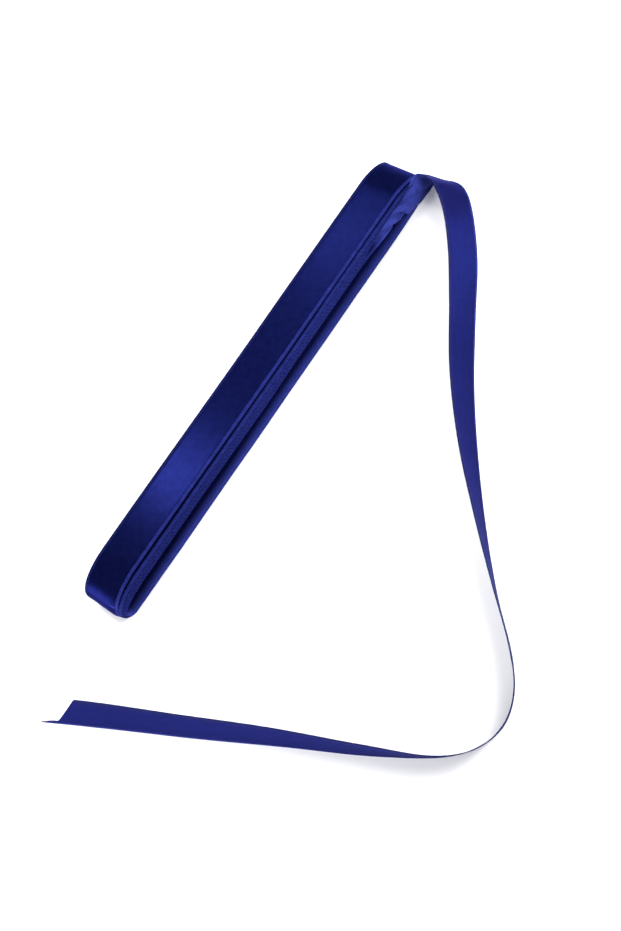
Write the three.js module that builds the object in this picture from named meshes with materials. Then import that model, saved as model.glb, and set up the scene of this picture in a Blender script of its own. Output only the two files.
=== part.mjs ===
// A flat-wound hank of satin ribbon lying on its side run, with its loose end standing on edge.
// Millimetres. +X runs along the hank to the end the loose end leaves, -Y is the front side, +Z is up.
import * as THREE from 'three'

const ribbonWidth = 12
const ribbonBlue = 0x1a2380
const satinRoughness = 0.45

// Outside of the wound loop: where its two turns end, and its height.
const hankLeft = -71
const hankRight = 71.2
const hankHeight = 9.4
const turnReach = 6.5

// The stack leans towards the front at its foot, where its right turn spreads towards the loose end.
const forwardLean = 1.4
const rightSpread = 0.8

// Hollow the loop closes around. It stops short on the right, where the tucked inner end fills it.
const hollowLeft = -65.5
const hollowRight = 50
const hollowLow = 1.4
const hollowHigh = 6.4
const hollowLeftReach = 5
const hollowRightReach = 3.5

// The slack upper run bows gently between the places where the layers press together.
const swell = 0.16
const swellLength = 62
const swellEase = 9

const runSteps = 40
const turnSteps = 14

// Bundles of turns from the outside in: how deep each one ends, as a share of the stack, and its two edges.
const bundles = [
  { depth: 0.2, front: -6.0, back: 6.0 },
  { depth: 0.46, front: -6.3, back: 5.6 },
  { depth: 0.73, front: -6.5, back: 5.8 },
  { depth: 1.0, front: -6.8, back: 5.3 }
]

// Loose end, a section a row: foot on the surface, and how far the top edge leans towards the hank in degrees.
const tailRows = [
  { x: 75.4, y: -7.6, lean: 31 },
  { x: 76.0, y: -12.7, lean: 31.5 },
  { x: 75.0, y: -17.1, lean: 33.5 },
  { x: 72.7, y: -20.3, lean: 33 },
  { x: 66.8, y: -25.8, lean: 28.6 },
  { x: 57.3, y: -33.1, lean: 24.8 },
  { x: 43.8, y: -41.7, lean: 18.8 },
  { x: 27.1, y: -52.6, lean: 15.5 },
  { x: 11.1, y: -64.6, lean: 9.2 },
  { x: -4.3, y: -77.5, lean: -0.3 },
  { x: -15.8, y: -88.6, lean: -5.2 },
  { x: -26.8, y: -100.2, lean: -7.6 },
  { x: -33.2, y: -104.9, lean: -11.3 },
  { x: -40.9, y: -106.9, lean: -15.3 },
  { x: -48.5, y: -104.8, lean: -13.6 },
  { x: -54.3, y: -99.4, lean: -8.4 },
  { x: -62.5, y: -85.6, lean: 0.4 },
  { x: -73.4, y: -64.2, lean: 9.9 },
  { x: -84.1, y: -42.8, lean: 15.8 },
  { x: -94.7, y: -21.2, lean: 20.3 },
  { x: -103.9, y: -2.9, lean: 21.5 }
]
const tailThickness = 1
const tailSteps = 150
// The end is cut on the slant: the top edge stops this far before the tip, and a narrow tongue runs on.
const cutRun = 15
const tongueRun = 5
const tongueShare = 0.12

function closedMesh(name, points, faces) {
  const geometry = new THREE.BufferGeometry()
  geometry.setAttribute('position', new THREE.Float32BufferAttribute(points.flat(), 3))
  geometry.setIndex(faces.flat())
  geometry.computeVertexNormals()
  const satin = new THREE.MeshStandardMaterial({ color: ribbonBlue, roughness: satinRoughness })
  satin.name = name
  const mesh = new THREE.Mesh(geometry, satin)
  mesh.name = name
  return mesh
}

// Points round a long loop with rounded turns, from the right end of its upper run to the left and back.
function loopPoints({ left, right, low, high, leftReach, rightReach }) {
  const middle = (low + high) / 2
  const half = (high - low) / 2
  const runRight = right - rightReach
  const runLeft = left + leftReach
  const points = []
  for (let i = 0; i < runSteps; i += 1) {
    points.push([runRight + (runLeft - runRight) * i / runSteps, high])
  }
  for (let i = 0; i < turnSteps; i += 1) {
    const angle = Math.PI * i / turnSteps
    points.push([runLeft - leftReach * Math.sin(angle), middle + half * Math.cos(angle)])
  }
  for (let i = 0; i < runSteps; i += 1) {
    points.push([runLeft + (runRight - runLeft) * i / runSteps, low])
  }
  for (let i = 0; i < turnSteps; i += 1) {
    const angle = Math.PI * i / turnSteps
    points.push([runRight + rightReach * Math.sin(angle), middle - half * Math.cos(angle)])
  }
  return points
}

// Height the upper run gains at x, fading out at both turns.
function swellAt(x) {
  const fromEnd = Math.min(x - hankLeft, hankRight - x)
  const fade = THREE.MathUtils.smoothstep(fromEnd, 0, swellEase)
  return -swell * fade * (1 - Math.cos(2 * Math.PI * (x - hankLeft) / swellLength))
}

// Where a point of the loop goes once the stack leans, the upper run bows and the right turn spreads.
function settle(x, across, z) {
  const drop = 1 - z / hankHeight
  const onTurn = THREE.MathUtils.smoothstep(x, hankRight - turnReach, hankRight)
  const upper = THREE.MathUtils.smoothstep(z, hollowLow, hollowHigh)
  return [
    x + onTurn * rightSpread * (bundles[0].back - across) * drop * drop,
    across - forwardLean * drop,
    z + upper * swellAt(x)
  ]
}

// Outline of the stack of turns: share of its depth and place across, stepping at each bundle.
function stackOutline() {
  const front = []
  const back = []
  let from = 0
  for (const bundle of bundles) {
    front.push([from, bundle.front], [bundle.depth, bundle.front])
    back.unshift([bundle.depth, bundle.back], [from, bundle.back])
    from = bundle.depth
  }
  return front.concat(back)
}

function makeHank() {
  const outer = loopPoints({
    left: hankLeft, right: hankRight, low: 0, high: hankHeight, leftReach: turnReach, rightReach: turnReach
  })
  const inner = loopPoints({
    left: hollowLeft,
    right: hollowRight,
    low: hollowLow,
    high: hollowHigh,
    leftReach: hollowLeftReach,
    rightReach: hollowRightReach
  })
  const outline = stackOutline()
  const points = []
  for (let i = 0; i < outer.length; i += 1) {
    for (const [depth, across] of outline) {
      const x = THREE.MathUtils.lerp(outer[i][0], inner[i][0], depth)
      const z = THREE.MathUtils.lerp(outer[i][1], inner[i][1], depth)
      points.push(settle(x, across, z))
    }
  }
  const count = outline.length
  const faces = []
  for (let i = 0; i < outer.length; i += 1) {
    const next = (i + 1) % outer.length
    for (let j = 0; j < count; j += 1) {
      const after = (j + 1) % count
      const [a, b] = [i * count + j, i * count + after]
      const [c, d] = [next * count + after, next * count + j]
      faces.push([a, c, b], [a, d, c])
    }
  }
  return closedMesh('hank', points, faces)
}

// Four corners of the loose end's section: foot left and right, top right and left, seen along the run.
function tailSection(curve, step) {
  const share = step / tailSteps
  const here = curve.getPointAt(share)
  const tangent = curve.getTangentAt(share)
  const run = new THREE.Vector3(tangent.x, tangent.y, 0).normalize()
  const side = new THREE.Vector3(-run.y, run.x, 0)
  const lean = THREE.MathUtils.degToRad(here.z)
  const up = new THREE.Vector3(0, 0, Math.cos(lean)).addScaledVector(side, -Math.sin(lean))
  const out = new THREE.Vector3(0, 0, Math.sin(lean)).addScaledVector(side, Math.cos(lean))
  const foot = new THREE.Vector3(here.x, here.y, 0)
  const toTip = curve.getLength() * (1 - share)
  const cutShare = (toTip - tongueRun) / (cutRun - tongueRun)
  const width = ribbonWidth * THREE.MathUtils.clamp(cutShare, tongueShare, 1)
  const top = foot.clone().addScaledVector(up, width)
  const footHalf = tailThickness / 2 / Math.cos(lean)
  return [
    foot.clone().addScaledVector(side, footHalf),
    foot.clone().addScaledVector(side, -footHalf),
    top.clone().addScaledVector(out, -tailThickness / 2),
    top.clone().addScaledVector(out, tailThickness / 2)
  ]
}

function makeTail() {
  const rows = tailRows.map(row => new THREE.Vector3(row.x, row.y, row.lean))
  const curve = new THREE.CatmullRomCurve3(rows)
  const points = []
  const faces = []
  for (let step = 0; step <= tailSteps; step += 1) {
    for (const corner of tailSection(curve, step)) points.push(corner.toArray())
  }
  const count = 4
  for (let step = 0; step < tailSteps; step += 1) {
    for (let j = 0; j < count; j += 1) {
      const after = (j + 1) % count
      const [a, b] = [step * count + j, step * count + after]
      const [c, d] = [(step + 1) * count + after, (step + 1) * count + j]
      faces.push([a, c, b], [a, d, c])
    }
  }
  const last = tailSteps * count
  faces.push([0, 1, 2], [0, 2, 3], [last, last + 2, last + 1], [last, last + 3, last + 2])
  return closedMesh('tail', points, faces)
}

const part = new THREE.Group()
part.name = 'ribbon_hank'
part.add(makeHank(), makeTail())
export default part
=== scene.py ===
import math

import bmesh
import bpy
import numpy as np
from mathutils import Matrix, Vector, noise


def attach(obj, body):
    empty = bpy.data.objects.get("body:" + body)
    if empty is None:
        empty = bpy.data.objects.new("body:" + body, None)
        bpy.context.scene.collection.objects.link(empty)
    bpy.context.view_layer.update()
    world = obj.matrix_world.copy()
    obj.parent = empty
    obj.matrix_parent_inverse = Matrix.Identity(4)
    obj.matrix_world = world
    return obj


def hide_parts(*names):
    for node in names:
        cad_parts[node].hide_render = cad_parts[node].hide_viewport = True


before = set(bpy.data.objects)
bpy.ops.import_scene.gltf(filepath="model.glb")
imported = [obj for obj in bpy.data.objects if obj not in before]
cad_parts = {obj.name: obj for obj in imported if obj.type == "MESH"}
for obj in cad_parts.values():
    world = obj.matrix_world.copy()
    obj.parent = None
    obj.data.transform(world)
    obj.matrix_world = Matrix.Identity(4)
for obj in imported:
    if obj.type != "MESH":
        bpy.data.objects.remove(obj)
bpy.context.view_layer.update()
scene = bpy.context.scene
mm = 0.001
print("frame loaded")

cameraSetup = {
    "place": (-60.8, -209.9, 307.0),  # mm, from the middle of the hank's underside
    "lookDown": 58.17,                # degrees below level
    "lookRight": 15.13,               # degrees from +Y towards +X
    "roll": 42.65,                    # degrees the picture is turned
    "lens": 54.14,
    "sensor": 36,
    "near": 0.01,                     # metres, as the next
    "far": 20,
}


def makeCamera(c):
    down, right, roll = (math.radians(c[k]) for k in ("lookDown", "lookRight", "roll"))
    ahead = Vector((math.sin(right) * math.cos(down), math.cos(right) * math.cos(down), -math.sin(down)))
    level = ahead.cross(Vector((0, 0, 1))).normalized()
    over = level.cross(ahead)
    across = math.cos(roll) * level - math.sin(roll) * over
    up = math.sin(roll) * level + math.cos(roll) * over
    camera = bpy.data.objects.new("camera", bpy.data.cameras.new("camera"))
    camera.data.lens = c["lens"]
    camera.data.sensor_width = c["sensor"]
    camera.data.clip_start = c["near"]
    camera.data.clip_end = c["far"]
    turn = Matrix((across, up, -ahead)).transposed().to_4x4()
    camera.matrix_world = Matrix.Translation(Vector(c["place"]) * mm) @ turn
    scene.collection.objects.link(camera)
    scene.camera = camera


makeCamera(cameraSetup)
print("camera set")

studio = {
    "floorSize": 6.0,          # metres
    "floorTone": (0.9, 0.9, 0.91, 1),
    "floorRoughness": 0.9,
    "floorSpecular": 0.1,
    "floorDrop": 0.00002,      # metres under the frame's zero height
    "skyTone": (0.96, 0.97, 1.0, 1),
    "skyPower": 0.5,
    # soft boxes: place and aim in mm, size in mm, watts
    "boxes": [
        {"name": "backStrip", "place": (-4, 170, 250), "aim": (-29, 0, 9), "size": (24, 260), "watts": 0.62},
        {"name": "rightStrip", "place": (134, 160, 250), "aim": (48, 0, 9), "size": (22, 260), "watts": 0.34},
        {"name": "midStrip", "place": (88, 160, 250), "aim": (20, 0, 9), "size": (70, 260), "watts": 0.07},
        {"name": "frontHigh", "place": (95, -210, 250), "aim": (30, -7, 6), "size": (140, 90), "watts": 1.0},
        {"name": "rightLow", "place": (345, -125, 70), "aim": (69, -24, 5), "size": (40, 120), "watts": 1.15},
        {"name": "farRightLow", "place": (325, -200, 80), "aim": (10, -65, 5), "size": (90, 140),
         "watts": 0.8},
        {"name": "leftLow", "place": (-415, -26, 80), "aim": (-85, -42, 5), "size": (30, 140), "watts": 1.3},
        {"name": "leftFill", "place": (-380, -90, 90), "aim": (-80, -54, 5), "size": (240, 150),
         "watts": 0.9},
        {"name": "leftBack", "place": (-335, 215, 62), "aim": (-69, 0, 6), "size": (170, 150), "watts": 1.2},
    ],
}


def makeFloor(c):
    mesh = bmesh.new()
    bmesh.ops.create_grid(mesh, x_segments=1, y_segments=1, size=c["floorSize"] / 2)
    bmesh.ops.translate(mesh, verts=mesh.verts, vec=(0, 0, -c["floorDrop"]))
    data = bpy.data.meshes.new("floor")
    mesh.to_mesh(data)
    mesh.free()
    floor = bpy.data.objects.new("floor", data)
    scene.collection.objects.link(floor)
    paint = bpy.data.materials.new("paleFloor")
    paint.use_nodes = True
    shader = paint.node_tree.nodes["Principled BSDF"]
    shader.inputs["Base Color"].default_value = c["floorTone"]
    shader.inputs["Roughness"].default_value = c["floorRoughness"]
    shader.inputs["Specular IOR Level"].default_value = c["floorSpecular"]
    data.materials.append(paint)


def makeSky(c):
    world = bpy.data.worlds.new("softSky")
    world.use_nodes = True
    sky = world.node_tree.nodes["Background"]
    sky.inputs["Color"].default_value = c["skyTone"]
    sky.inputs["Strength"].default_value = c["skyPower"]
    scene.world = world


def hangBox(box):
    lamp = bpy.data.lights.new(box["name"], "AREA")
    lamp.shape = "RECTANGLE"
    lamp.size, lamp.size_y = (s * mm for s in box["size"])
    lamp.energy = box["watts"]
    holder = bpy.data.objects.new(box["name"], lamp)
    place, aim = Vector(box["place"]) * mm, Vector(box["aim"]) * mm
    beam = (aim - place).normalized()
    # the second size lies as near to Y as the aim allows
    long = Vector((0, 1, 0)) - beam * beam.y
    long.normalize()
    wide = long.cross(-beam)
    holder.matrix_world = Matrix.Translation(place) @ Matrix((wide, long, -beam)).transposed().to_4x4()
    scene.collection.objects.link(holder)


makeFloor(studio)
makeSky(studio)
for softBox in studio["boxes"]:
    hangBox(softBox)
scene.view_settings.view_transform = "Standard"
print("studio lit")

satin = {
    "face": (0.0007, 0.0014, 0.017, 1),
    "faceLight": (0.0046, 0.0072, 0.058, 1),
    "faceTones": (0.2, 0.8),    # weave tones that give the one and the other
    "edge": (0.020, 0.028, 0.19, 1),
    "dull": (0.034, 0.046, 0.27, 1),        # painted light: lighter colour on the crumpled stretch and the front of the inner lower turns
    "dullPaintedLightTones": (0.0, 0.9, 0.55, 1.0),     # weave tones, and the share of the painted-light colour at each
    "faceRoughness": 0.33, "edgeRoughness": 0.55,
    "faceMetal": 0.65, "edgeMetal": 0.1,
    "anisotropy": 0.95, "threadTurn": 0.25,
    "specular": 0.05, "specularTint": (0.2, 0.24, 1.0, 1),
    "bumpStrength": 0.5, "bumpDepth": 0.00006,
    "ribbonWidth": 12.0,        # mm, as the next four
    "edgeWidth": 1.05,          # woven selvedge along each side
    "hatchPitch": 0.6,          # between the twill lines of the face
    "ropePitch": 1.1,           # between the slanted stitches of the selvedge
    "grooveWidth": 0.22,        # each way, where face and selvedge meet
    "edgeFade": (1.12, 0.85),   # where the selvedge begins and is full, as shares of its width
    "hatchSlant": 1.25, "hatchWander": 0.5,
    "ropeSlant": 2.3, "ropeWander": 2.4, "ropeSteps": (-0.7, 0.8),
    # grain sizes, and how far each is drawn out along the ribbon
    "wanderGrain": 0.9, "wanderStretch": 0.25,
    "warpGrain": 4.5, "warpStretch": 0.12,
    "cloudGrain": 0.55, "fineDetail": 3.0,
    # what each adds to the height, then to the tone
    "hatchRise": 0.05, "warpRise": 0.45, "ropeRise": 0.4, "grooveDepth": 0.8,
    "hatchTone": 0.3, "warpTone": 0.45, "cloudTone": 0.55, "ropeTone": 0.36, "edgeCloudTone": 0.55,
    "grooveTone": 0.45,
    "backEdgeShade": (2.0, 10.0, 1.0, 0.4),      # mm across, and the selvedge's share of tone at each; the lower share at the back edge is painted shade
}


def link(tree, value, socket):
    if isinstance(value, bpy.types.NodeSocket):
        tree.links.new(value, socket)
    else:
        socket.default_value = value


def maths(tree, kind, a, b=0.0, clamp=False):
    node = tree.nodes.new("ShaderNodeMath")
    node.operation = kind
    node.use_clamp = clamp
    link(tree, a, node.inputs[0])
    link(tree, b, node.inputs[1])
    return node.outputs[0]


def plus(tree, a, b):
    return maths(tree, "ADD", a, b)


def minus(tree, a, b, clamp=False):
    return maths(tree, "SUBTRACT", a, b, clamp)


def times(tree, a, b):
    return maths(tree, "MULTIPLY", a, b)


def wave(tree, run, pitch):
    return maths(tree, "SINE", maths(tree, "DIVIDE", times(tree, run, 2 * math.pi), pitch))


def ramp(tree, value, low, high, toLow=0.0, toHigh=1.0):
    node = tree.nodes.new("ShaderNodeMapRange")
    node.interpolation_type = "SMOOTHSTEP"
    link(tree, value, node.inputs["Value"])
    for name, v in (("From Min", low), ("From Max", high), ("To Min", toLow), ("To Max", toHigh)):
        link(tree, v, node.inputs[name])
    return node.outputs[0]


def grain(tree, along, across, scale, detail=2.0):
    join = tree.nodes.new("ShaderNodeCombineXYZ")
    link(tree, along, join.inputs[0])
    link(tree, across, join.inputs[1])
    node = tree.nodes.new("ShaderNodeTexNoise")
    tree.links.new(join.outputs[0], node.inputs["Vector"])
    node.inputs["Scale"].default_value = scale
    node.inputs["Detail"].default_value = detail
    return node.outputs["Fac"]


def blendColour(tree, factor, first, second):
    node = tree.nodes.new("ShaderNodeMix")
    node.data_type = "RGBA"
    link(tree, factor, node.inputs[0])
    link(tree, first, node.inputs[6])
    link(tree, second, node.inputs[7])
    return node.outputs[2]


def makeWeaveGroup(c):
    # takes ribbon coordinates in mm and gives a height, the selvedge's mask and a tone
    tree = bpy.data.node_groups.new("satinWeave", "ShaderNodeTree")
    sockets = tree.interface
    sockets.new_socket("Ribbon mm", in_out="INPUT", socket_type="NodeSocketVector")
    for name, value in (("Hatch pitch", c["hatchPitch"]), ("Rope pitch", c["ropePitch"]),
                        ("Edge width", c["edgeWidth"]), ("Ribbon width", c["ribbonWidth"])):
        sockets.new_socket(name, in_out="INPUT", socket_type="NodeSocketFloat").default_value = value
    for name in ("Height", "Edge", "Tone"):
        sockets.new_socket(name, in_out="OUTPUT", socket_type="NodeSocketFloat")
    given = tree.nodes.new("NodeGroupInput").outputs
    result = tree.nodes.new("NodeGroupOutput").inputs
    split = tree.nodes.new("ShaderNodeSeparateXYZ")
    tree.links.new(given["Ribbon mm"], split.inputs[0])
    along, across = split.outputs[0], split.outputs[1]

    # distance to the nearer side, and from it the selvedge and the groove beside it
    side = maths(tree, "MINIMUM", across, minus(tree, given["Ribbon width"], across))
    edge = ramp(tree, side, *(times(tree, given["Edge width"], share) for share in c["edgeFade"]))
    flat = minus(tree, 1.0, edge)
    fromEdge = maths(tree, "ABSOLUTE", minus(tree, side, given["Edge width"]))
    groove = ramp(tree, fromEdge, c["grooveWidth"], 0.0)
    tree.links.new(edge, result["Edge"])

    # twill lines over the face, with the uneven warp and the clouds that break them up
    wander = grain(tree, times(tree, along, c["wanderStretch"]), across, c["wanderGrain"])
    slant = plus(tree, along, times(tree, across, c["hatchSlant"]))
    slant = plus(tree, slant, times(tree, wander, c["hatchWander"]))
    twill = wave(tree, slant, given["Hatch pitch"])
    warp = grain(tree, times(tree, along, c["warpStretch"]), across, c["warpGrain"], c["fineDetail"])
    cloud = grain(tree, along, across, c["cloudGrain"], c["fineDetail"])

    # slanted stitches of the selvedge, mirrored on the two sides
    rope = plus(tree, along, times(tree, side, c["ropeSlant"]))
    rope = plus(tree, rope, times(tree, wander, c["ropeWander"]))
    stitch = ramp(tree, wave(tree, rope, given["Rope pitch"]), *c["ropeSteps"])

    rise = plus(tree, times(tree, twill, c["hatchRise"]), times(tree, warp, c["warpRise"]))
    rise = times(tree, rise, flat)
    rise = plus(tree, rise, times(tree, times(tree, stitch, edge), c["ropeRise"]))
    rise = minus(tree, rise, times(tree, groove, c["grooveDepth"]))
    tree.links.new(rise, result["Height"])

    tone = plus(tree, times(tree, warp, c["warpTone"]), times(tree, cloud, c["cloudTone"]))
    tone = plus(tree, tone, times(tree, twill, c["hatchTone"]))
    tone = times(tree, tone, flat)
    edgeTone = plus(tree, times(tree, stitch, c["ropeTone"]), times(tree, cloud, c["edgeCloudTone"]))
    # the back selvedge keeps less of its lighter stitch tone: painted shade
    edgeShareBackShade = times(tree, edge, ramp(tree, across, *c["backEdgeShade"]))
    tone = plus(tree, tone, times(tree, edgeTone, edgeShareBackShade))
    tone = minus(tree, tone, times(tree, groove, c["grooveTone"]), clamp=True)
    tree.links.new(tone, result["Tone"])
    return tree


mapUnit = 100    # mm to one unit of the ribbon's own map


def makeSatin(c):
    paint = bpy.data.materials.new("blueSatin")
    paint.use_nodes = True
    tree = paint.node_tree
    shader = tree.nodes["Principled BSDF"]
    place = tree.nodes.new("ShaderNodeUVMap")
    place.uv_map = "ribbonMap"
    weave = tree.nodes.new("ShaderNodeGroup")
    weave.node_tree = makeWeaveGroup(c)
    scale = tree.nodes.new("ShaderNodeVectorMath")
    scale.operation = "SCALE"
    scale.inputs["Scale"].default_value = mapUnit
    tree.links.new(place.outputs[0], scale.inputs[0])
    tree.links.new(scale.outputs[0], weave.inputs["Ribbon mm"])
    height, edge, tone = (weave.outputs[n] for n in ("Height", "Edge", "Tone"))

    faceTone = ramp(tree, tone, *c["faceTones"])
    ground = blendColour(tree, faceTone, c["face"], c["faceLight"])
    stitched = blendColour(tree, tone, c["face"], c["edge"])
    colour = blendColour(tree, edge, ground, stitched)
    # painted light: where the mask is set the cloth takes the lighter colour, following the weave tone, and
    # loses its metal
    dullPaintedLightNode = tree.nodes.new("ShaderNodeAttribute")
    dullPaintedLightNode.attribute_name = "dullPaintedLightMask"
    dull = times(tree, dullPaintedLightNode.outputs["Fac"], ramp(tree, tone, *c["dullPaintedLightTones"]))
    colour = blendColour(tree, dull, colour, c["dull"])
    tree.links.new(colour, shader.inputs["Base Color"])
    rough = ramp(tree, edge, 0.0, 1.0, c["faceRoughness"], c["edgeRoughness"])
    tree.links.new(rough, shader.inputs["Roughness"])
    metal = ramp(tree, edge, 0.0, 1.0, c["faceMetal"], c["edgeMetal"])
    metal = times(tree, metal, minus(tree, 1.0, dullPaintedLightNode.outputs["Fac"]))
    tree.links.new(metal, shader.inputs["Metallic"])
    shader.inputs["Anisotropic"].default_value = c["anisotropy"]
    shader.inputs["Anisotropic Rotation"].default_value = c["threadTurn"]
    shader.inputs["Specular IOR Level"].default_value = c["specular"]
    shader.inputs["Specular Tint"].default_value = c["specularTint"]
    thread = tree.nodes.new("ShaderNodeTangent")
    thread.direction_type = "UV_MAP"
    thread.uv_map = "ribbonMap"
    tree.links.new(thread.outputs[0], shader.inputs["Tangent"])
    bump = tree.nodes.new("ShaderNodeBump")
    bump.inputs["Strength"].default_value = c["bumpStrength"]
    bump.inputs["Distance"].default_value = c["bumpDepth"]
    tree.links.new(height, bump.inputs["Height"])
    tree.links.new(bump.outputs[0], shader.inputs["Normal"])
    return paint


blueSatin = makeSatin(satin)
print("satin mixed")

# all of these are in mm, unless a note says otherwise
ribbon = {
    "width": satin["ribbonWidth"],
    "thickness": 0.17,    # of the selvedge
    "selvedge": 1.1,      # thicker cloth along each side
    "faceShare": 0.55,    # thickness of the face as a share of the selvedge's
    # where the lines of faces lie, closest at the front edge
    "columns": (0, 0.15, 0.4, 0.75, 1.0, 1.25, 1.8, 2.6, 3.8, 5.3, 6.7, 8.2, 9.6,
                10.75, 11.0, 11.25, 11.6, 12.0),
    "cupReach": 2.4,      # how far from the front edge a turn draws in
    "dullFront": 0.9, "paintedLightBack": 2.8,    # between these the painted light on the inner turns fades out
    "floorClear": 0.09,   # lowest the middle of the cloth may lie
    "flatLength": 2.2,    # metres
}

wound = {
    "turns": 6,
    "startShare": 0.55,   # where on the lower run the outer end lies
    "endX": 2.0,          # where the inner end leaves the upper run
    "runCount": 64, "turnCount": 24,    # sections in each run and each turn
    "left": -70.9, "right": 71.8, "low": 0.1, "high": 9.55,
    "leftStep": 0.27, "rightStep": 0.45, "lowStep": 0.15,    # how far each layer lies inside the last
    "gaps": (0.85, 0.5, 0.42, 0.38, 0.36, 0.4),    # between the layers of the upper run
    "uneven": 0.3, "unevenSize": 0.035, "unevenShift": 5.7, "unevenSeed": 0.4,
    "rightFall": 0.2, "rightFallRun": 50,
    # the turns: how far each half reaches, and how high it is widest
    "leftHighReach": 12.4, "leftLowReach": 4.0, "leftMiddle": 3.2,
    "rightHighReach": 10.4, "rightLowReach": 6.5, "rightMiddle": 4.6,
    "reachStep": 0.3, "middleStep": 0.1,
    "leftCrown": 0.84,    # the left turn sags
    "swell": 0.3, "swellLength": 98.0, "swellStart": -48.0,    # the upper run is a little wavy
    "swellLeft": (-64, -50), "swellRight": (66, 52),           # x between which the waves grow, at each end
    # each layer's front edge past the first, the lean of the stack, and what strays from it
    "frontEdge": -6.0, "steps": (0.0, 1.0, 1.2, 1.25, 1.35, 1.45, 1.55), "lowShare": 0.58,
    "lean": 1.4, "leanHeight": 9.4,
    "wander": 0.14, "wanderSize": 0.045, "wanderShift": 3.1, "wanderSeed": 7.7, "wanderOuter": 0.3,
    "setBack": 1.5, "setBackRun": (38, 56), "setBackLayers": (0.6, 2.0),    # room for the loose end
    "lowBack": 0.2, "lowBackRun": (52, 66),
    # the front edge draws in on the turns, and droops below
    "runCup": 0.16, "leftCup": 0.5, "rightCup": 0.3, "lowDroop": 0.5, "droopLayers": (1.0, 5.0),
    # painted light along the front of the inner lower turns, and the layers it comes in over
    "innerPaintedLight": 0.6, "paintedLightLayers": (3.0, 5.0),
}

# the inner end runs right under the upper layers, droops at the front, crumples and twists up on its edge;
# foot is its front edge, belly its middle and top its back edge
root = [
    {"foot": (12.0, -7.8, 6.1), "belly": (12.0, -1.8, 6.15), "top": (12.0, 4.2, 6.1)},
    {"foot": (24.0, -7.9, 6.2), "belly": (24.0, -1.9, 6.2), "top": (24.0, 4.1, 6.0)},
    {"foot": (36.0, -7.9, 6.25), "belly": (36.0, -2.0, 6.2), "top": (36.0, 3.8, 5.8)},
    {"foot": (45.0, -7.9, 5.9), "belly": (45.0, -2.8, 6.25), "top": (44.5, 2.6, 5.5)},
    {"foot": (50.0, -8.0, 5.3), "belly": (50.0, -3.8, 6.3), "top": (49.0, 1.0, 5.4)},
    {"foot": (54.0, -8.1, 5.1), "belly": (53.5, -4.8, 6.3), "top": (52.5, -0.6, 5.4)},
    {"foot": (57.5, -8.1, 4.8), "belly": (57.0, -5.9, 6.4), "top": (56.0, -2.0, 5.5)},
    {"foot": (60.0, -8.0, 3.4), "belly": (60.0, -6.9, 6.3), "top": (59.5, -3.4, 5.8)},
    {"foot": (62.0, -7.9, 1.6), "belly": (62.5, -7.7, 5.7), "top": (62.0, -4.8, 6.2)},
    {"foot": (65.0, -7.8, 0.5), "belly": (65.0, -8.3, 4.8), "top": (64.5, -6.1, 6.8)},
    {"foot": (68.0, -7.85, 0.1), "belly": (67.5, -8.5, 4.4), "top": (67.0, -6.6, 7.8)},
    {"foot": (71.0, -7.9, 0.0), "belly": (70.2, -8.5, 4.6), "top": (69.4, -6.8, 8.8)},
    {"foot": (74.0, -8.1, 0.0), "belly": (72.6, -8.3, 5.0), "top": (70.5, -7.6, 9.3)},
    {"foot": (75.1, -9.3, 0.0), "belly": (73.3, -9.3, 5.2), "top": (70.3, -9.0, 9.7)},
]

# folds in the crumpled stretch: x and mm from the front edge, at each end
creases = [
    {"from": (52.6, 3.6), "to": (55.0, 0.6), "depth": 0.9, "reach": 0.55},
    {"from": (56.2, 4.2), "to": (57.6, 1.4), "depth": -0.5, "reach": 0.8},
    {"from": (58.4, 3.0), "to": (60.6, 0.8), "depth": 1.3, "reach": 0.6},
    {"from": (61.5, 6.0), "to": (64.0, 3.2), "depth": -0.6, "reach": 0.9},
    {"from": (64.2, 9.6), "to": (67.6, 6.4), "depth": 1.1, "reach": 0.5},
    {"from": (66.6, 4.6), "to": (70.4, 3.4), "depth": 0.8, "reach": 0.5},
    {"from": (68.2, 2.4), "to": (72.0, 1.2), "depth": 0.6, "reach": 0.5},
]
creaseOverrun = 0.2    # how far a fold runs on past its ends, as a share of its length

# the rest stands on its foot on the surface; lean is towards the inside of its curve, in degrees
standing = [
    {"x": 76.1, "y": -11.5, "lean": 31},
    {"x": 76.8, "y": -13.1, "lean": 33},
    {"x": 76.3, "y": -15.1, "lean": 35},
    {"x": 75.3, "y": -17.3, "lean": 35.5},
    {"x": 72.9, "y": -20.4, "lean": 34.5},
    {"x": 66.9, "y": -26.0, "lean": 29},
    {"x": 57.4, "y": -33.3, "lean": 24.8},
    {"x": 43.8, "y": -41.8, "lean": 18.8},
    {"x": 27.1, "y": -52.6, "lean": 15.5},
    {"x": 11.1, "y": -64.6, "lean": 9.2},
    {"x": -4.3, "y": -77.5, "lean": -0.3},
    {"x": -15.9, "y": -88.3, "lean": -6.2},
    {"x": -27.5, "y": -100.4, "lean": -9.0},
    {"x": -34.8, "y": -105.3, "lean": -14.0},
    {"x": -41.4, "y": -106.7, "lean": -17.4},
    {"x": -47.2, "y": -104.8, "lean": -18.0},
    {"x": -53.2, "y": -100.0, "lean": -11.8},
    {"x": -62.3, "y": -85.7, "lean": 0.5},
    {"x": -73.2, "y": -64.1, "lean": 9.9},
    {"x": -84.1, "y": -42.8, "lean": 15.8},
    {"x": -94.7, "y": -21.2, "lean": 20.3},
    {"x": -103.9, "y": -2.9, "lean": 21.5},
]

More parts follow.
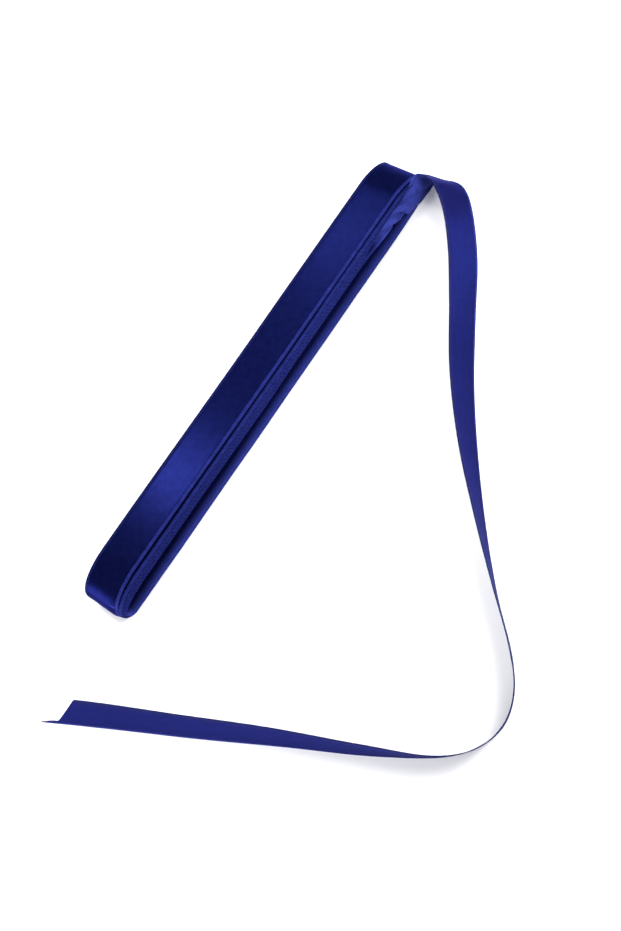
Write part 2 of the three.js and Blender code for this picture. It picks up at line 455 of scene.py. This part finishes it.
looseEnd = {
    "spacing": 0.7,          # between the sections of the whole loose end
    "standingSpacing": 4.0,  # between the rows it stands on
    "leanWeight": 0.2,       # what a degree of lean counts for against a mm of the way
    "easings": 2,
    "curl": 0.12,            # how far the middle of the standing stretch is proud of its edges
    "curlRun": 12,
    # the slanted cut leaves a thin tongue at the foot
    "cutRun": 15.0, "tongueRun": 4.5, "tongueShare": 0.12, "tipShare": 0.03,
    # the crumpled stretch: its depth and size of ruck, and where along x and y it comes in
    "crumple": 0.42, "crumpleSize": 0.36, "ruckSlant": 0.6, "ruckSeed": 2.3,
    "ruckSharp": 0.7, "ruckFine": 0.5, "ruckFineSize": 2.7,
    "crumpleFrom": 46, "crumpleFull": 54,
    "crumpleFront": -9.5, "crumpleBack": -8.6,
}


def smooth(low, high, value):
    t = min(1.0, max(0.0, (value - low) / (high - low)))
    return t * t * (3 - 2 * t)


def layerOf(c, turn):
    # whole numbers along each upper run, easing over to the next on the way round
    k = math.floor(turn - 0.5)
    return min(float(c["turns"]), max(0.0, k + smooth(0.25, 1.0, turn - 0.5 - k)))


def topHeight(c, layer, x):
    # height of the upper run at x, under the layers outside it
    drop = 0.0
    for i, gap in enumerate(c["gaps"]):
        share = min(1.0, max(0.0, layer - i))
        spot = Vector((x * c["unevenSize"], i * c["unevenShift"], c["unevenSeed"]))
        drop += share * gap * (1 + c["uneven"] * noise.noise(spot))
    high = c["high"] - drop - c["rightFall"] * smooth(0, c["rightFallRun"], x)
    swing = math.cos(2 * math.pi * (x - c["swellStart"]) / c["swellLength"])
    return high - c["swell"] * (1 - swing) / 2 * smooth(*c["swellLeft"], x) * smooth(*c["swellRight"], x)


def frontEdge(c, layer, x, z, upper):
    step = np.interp(layer, range(c["turns"] + 1), c["steps"])
    spot = Vector((x * c["wanderSize"], layer * c["wanderShift"], c["wanderSeed"]))
    stray = c["wander"] * noise.noise(spot) * (c["wanderOuter"] + min(1.0, layer))
    y = c["frontEdge"] - step * (c["lowShare"] + (1 - c["lowShare"]) * upper)
    y += stray - c["lean"] * (1 - z / c["leanHeight"])
    y += c["setBack"] * upper * smooth(*c["setBackRun"], x) * smooth(*c["setBackLayers"], layer)
    return y + c["lowBack"] * smooth(*c["lowBackRun"], x) * (1 - upper)


def woundSection(c, turn):
    # this many turns in from the outer end: lower run to the left, left turn up, upper run to the right,
    # right turn down
    layer = layerOf(c, turn)
    quarter = (turn % 1.0) * 4
    phase, u = int(quarter), quarter - int(quarter)
    arc, rise = math.sin(math.pi * u), -math.cos(math.pi * u)
    side = "left" if phase == 1 else "right"
    half = "High" if (rise > 0) == (phase == 1) else "Low"
    left, right = c["left"] + c["leftStep"] * layer, c["right"] - c["rightStep"] * layer
    reach = {k: c[k + "Reach"] - c["reachStep"] * layer
             for k in ("leftHigh", "leftLow", "rightHigh", "rightLow")}
    if phase == 0:
        start, end = right - reach["rightLow"], left + reach["leftLow"]
        x = start + (end - start) * u
    elif phase == 2:
        start, end = left + reach["leftHigh"], right - reach["rightHigh"]
        x = start + (end - start) * u
    else:
        inward = (1 - arc) * reach[side + half]
        x = left + inward if side == "left" else right - inward
    low, high = c["low"] + c["lowStep"] * turn, topHeight(c, layer, x)
    if phase % 2 == 0:
        z = high if phase else low
    else:
        middle = c[side + "Middle"] + c["middleStep"] * layer
        lift = math.copysign(abs(rise) ** (c["leftCrown"] if side + half == "leftHigh" else 1.0), rise)
        z = middle + ((high - middle) if half == "High" else (middle - low)) * (lift if phase == 1 else -lift)
    upper = smooth(low, high, z)
    y = frontEdge(c, layer, x, z, upper)
    foot, top = Vector((x, y, z)), Vector((x, y + ribbon["width"], z))
    cup = c["runCup"] + {1: c["leftCup"], 3: c["rightCup"]}.get(phase, 0.0) * arc
    cup -= c["lowDroop"] * (1 - upper) * smooth(*c["droopLayers"], layer)
    # painted light on the front of the inner lower turns
    dull = c["innerPaintedLight"] * (1 - upper) * smooth(*c["paintedLightLayers"], layer)
    return {"foot": foot, "belly": (foot + top) / 2, "top": top, "cup": cup, "dull": dull}


def woundSections(c):
    counts = (c["runCount"], c["turnCount"], c["runCount"], c["turnCount"])
    spots = [k + (phase + i / counts[phase]) / 4
             for k in range(c["turns"] + 1) for phase in range(4) for i in range(counts[phase])]
    sections = []
    for turn in spots:
        if turn < c["startShare"] / 4:
            continue
        section = woundSection(c, turn)
        if turn > c["turns"] + 0.5 and section["foot"].x > c["endX"]:
            break
        sections.append(section)
    return sections


def throughRows(rows, spacing, fineness=60):
    # smooth curve through rows of numbers, sampled evenly by the first three columns' length
    rows = np.array(rows, float)
    gap = np.linalg.norm(np.diff(rows, axis=0), axis=1) ** 0.5
    knots = np.r_[0, np.cumsum(gap)]
    slopes = np.gradient(rows, knots, axis=0)
    fine = np.linspace(0, knots[-1], fineness * len(rows))
    k = np.clip(np.searchsorted(knots, fine, side="right") - 1, 0, len(rows) - 2)
    h = (knots[k + 1] - knots[k])[:, None]
    t = (fine - knots[k])[:, None] / h
    a, b = 2 * t**3 - 3 * t**2 + 1, t**3 - 2 * t**2 + t
    points = a * rows[k] + b * h * slopes[k] + (1 - a) * rows[k + 1] + (t**3 - t**2) * h * slopes[k + 1]
    run = np.r_[0, np.cumsum(np.linalg.norm(np.diff(points[:, :3], axis=0), axis=1))]
    even = np.linspace(0, run[-1], max(2, int(run[-1] / spacing) + 1))
    return np.array([np.interp(even, run, points[:, i]) for i in range(points.shape[1])]).T


def standingRows(c):
    line = [(r["x"], r["y"], 0, r["lean"] * c["leanWeight"]) for r in standing]
    line = throughRows(line, c["standingSpacing"])
    heading = np.gradient(line[:, :2], axis=0)
    rows = []
    for (x, y, _, lean), (dx, dy) in zip(line, heading):
        run = Vector((dx, dy, 0)).normalized()
        inward = Vector((run.y, -run.x, 0))
        angle = math.radians(lean / c["leanWeight"])
        foot = Vector((x, y, 0.0))
        top = foot + (inward * math.sin(angle) + Vector((0, 0, math.cos(angle)))) * ribbon["width"]
        curl = c["curl"] * smooth(0, c["curlRun"], len(rows) * c["standingSpacing"])
        rows.append(((foot + top) / 2 - inward * curl, foot, top))
    return rows


def looseSections(c, before):
    rows = [tuple(s[k] for k in ("belly", "foot", "top")) for s in before]
    rows += [tuple(Vector(r[k]) for k in ("belly", "foot", "top")) for r in root] + standingRows(c)
    line = throughRows([sum((tuple(p) for p in row), ()) for row in rows], c["spacing"])
    for _ in range(c["easings"]):
        line[1:-1] = (line[:-2] + 2 * line[1:-1] + line[2:]) / 4
    # the last wound section is already laid
    start = np.argmax(line[:, 0] > before[-1]["belly"].x)
    return [{"belly": Vector(r[:3]), "foot": Vector(r[3:6]), "top": Vector(r[6:9]), "cup": 0.0, "dull": 0.0}
            for r in line[start:]]


def creaseDepth(x, across):
    depth = 0.0
    for fold in creases:
        (x0, a0), (x1, a1) = fold["from"], fold["to"]
        dx, da = x1 - x0, a1 - a0
        t = ((x - x0) * dx + (across - a0) * da) / (dx * dx + da * da)
        t = min(1 + creaseOverrun, max(-creaseOverrun, t))
        away = math.hypot(x - x0 - t * dx, across - a0 - t * da) / fold["reach"]
        depth += fold["depth"] * math.exp(-away * away)
    return depth


def ruck(c, along, across):
    size = c["crumpleSize"]
    spot = Vector((along * size, (across + c["ruckSlant"] * along) * size, c["ruckSeed"]))
    ridge = 1 - 2 * abs(noise.noise(spot))
    return ridge * c["ruckSharp"] + noise.noise(spot * c["ruckFineSize"]) * c["ruckFine"]


def cutShare(c, toTip):
    # how much of the width is left this far from the tip
    cut = (toTip - c["tongueRun"]) / (c["cutRun"] - c["tongueRun"])
    narrow = c["tipShare"] + (c["tongueShare"] - c["tipShare"]) * smooth(0, c["tongueRun"], toTip)
    return min(1.0, max(narrow, cut))


def looseness(c, belly, toTip, looseRun):
    # how crumpled the cloth is here, on the loose end alone
    if belly.x <= c["crumpleFrom"] or belly.y <= c["crumpleFront"] or toTip >= looseRun:
        return 0.0
    return (smooth(c["crumpleFrom"], c["crumpleFull"], belly.x)
            * smooth(c["crumpleFront"], c["crumpleBack"], belly.y))


def layRibbon(name, sections, looseRun, c, w):
    bellies = [s["belly"] for s in sections]
    runs = [0.0]
    for a, b in zip(bellies, bellies[1:]):
        runs.append(runs[-1] + (b - a).length)
    total = runs[-1]
    last, lastColumn = len(sections) - 1, len(c["columns"]) - 1
    mesh = bmesh.new()
    bmesh.ops.create_grid(mesh, x_segments=last, y_segments=lastColumn, size=0.5)
    ribbonMap = mesh.loops.layers.uv.new("ribbonMap")
    spots, dullPaintedLightMask, thick = {}, [], []
    for index, vert in enumerate(mesh.verts):
        i = round((vert.co.x + 0.5) * last)
        j = round((vert.co.y + 0.5) * lastColumn)
        foot, belly, top, cup = (sections[i][k] for k in ("foot", "belly", "top", "cup"))
        toTip = total - runs[i]
        share = c["columns"][j] / c["width"] * cutShare(w, toTip)
        across = share * c["width"]
        ahead = bellies[min(last, i + 1)] - bellies[max(0, i - 1)]
        # a bend from foot to top that passes through the belly
        bend = belly * 2 - (foot + top) / 2
        place = foot * (1 - share) ** 2 + bend * 2 * share * (1 - share) + top * share**2
        slant = (bend - foot) * (1 - share) + (top - bend) * share
        out = ahead.cross(slant).normalized()
        sink = cup * (1 - smooth(0, c["cupReach"], across))
        loose = looseness(w, belly, toTip, looseRun)
        if loose:
            sink += loose * (w["crumple"] * ruck(w, runs[i], across) + creaseDepth(belly.x, across))
        place = place - out * sink
        place.z = max(place.z, c["floorClear"])
        vert.co = place * mm
        spots[vert] = (runs[i] / mapUnit, across / mapUnit)
        # mask of the painted light: the crumpled stretch, and the front of the inner lower turns
        inner = sections[i]["dull"] * (1 - smooth(c["dullFront"], c["paintedLightBack"], across))
        dullPaintedLightMask.append(max(loose, inner))
        if min(across, c["width"] - across) < c["selvedge"]:
            thick.append(index)
    for side in mesh.faces:
        side.smooth = True
        for loop in side.loops:
            loop[ribbonMap].uv = spots[loop.vert]
    data = bpy.data.meshes.new(name)
    mesh.to_mesh(data)
    mesh.free()
    data.attributes.new("dullPaintedLightMask", "FLOAT", "POINT").data.foreach_set("value", dullPaintedLightMask)
    data.materials.append(blueSatin)
    piece = bpy.data.objects.new(name, data)
    scene.collection.objects.link(piece)
    piece.vertex_groups.new(name="selvedge").add(thick, 1.0, "REPLACE")
    shell = piece.modifiers.new("clothThickness", "SOLIDIFY")
    shell.thickness = c["thickness"] * mm
    shell.offset = 0
    shell.vertex_group = "selvedge"
    shell.thickness_vertex_group = c["faceShare"]
    print(f"{name}: {total:.0f} mm of ribbon, {len(data.polygons)} faces")
    return piece


def makeRibbon():
    turns = woundSections(wound)
    # two wound sections give the loose end its heading
    loose = looseSections(looseEnd, [turns[-5], turns[-1]])
    looseRun = sum((b["belly"] - a["belly"]).length for a, b in zip(loose, loose[1:]))
    piece = layRibbon("satinRibbon", turns + loose, looseRun, ribbon, looseEnd)
    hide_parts("hank", "tail")
    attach(piece, "root")


makeRibbon()
print("ribbon wound")
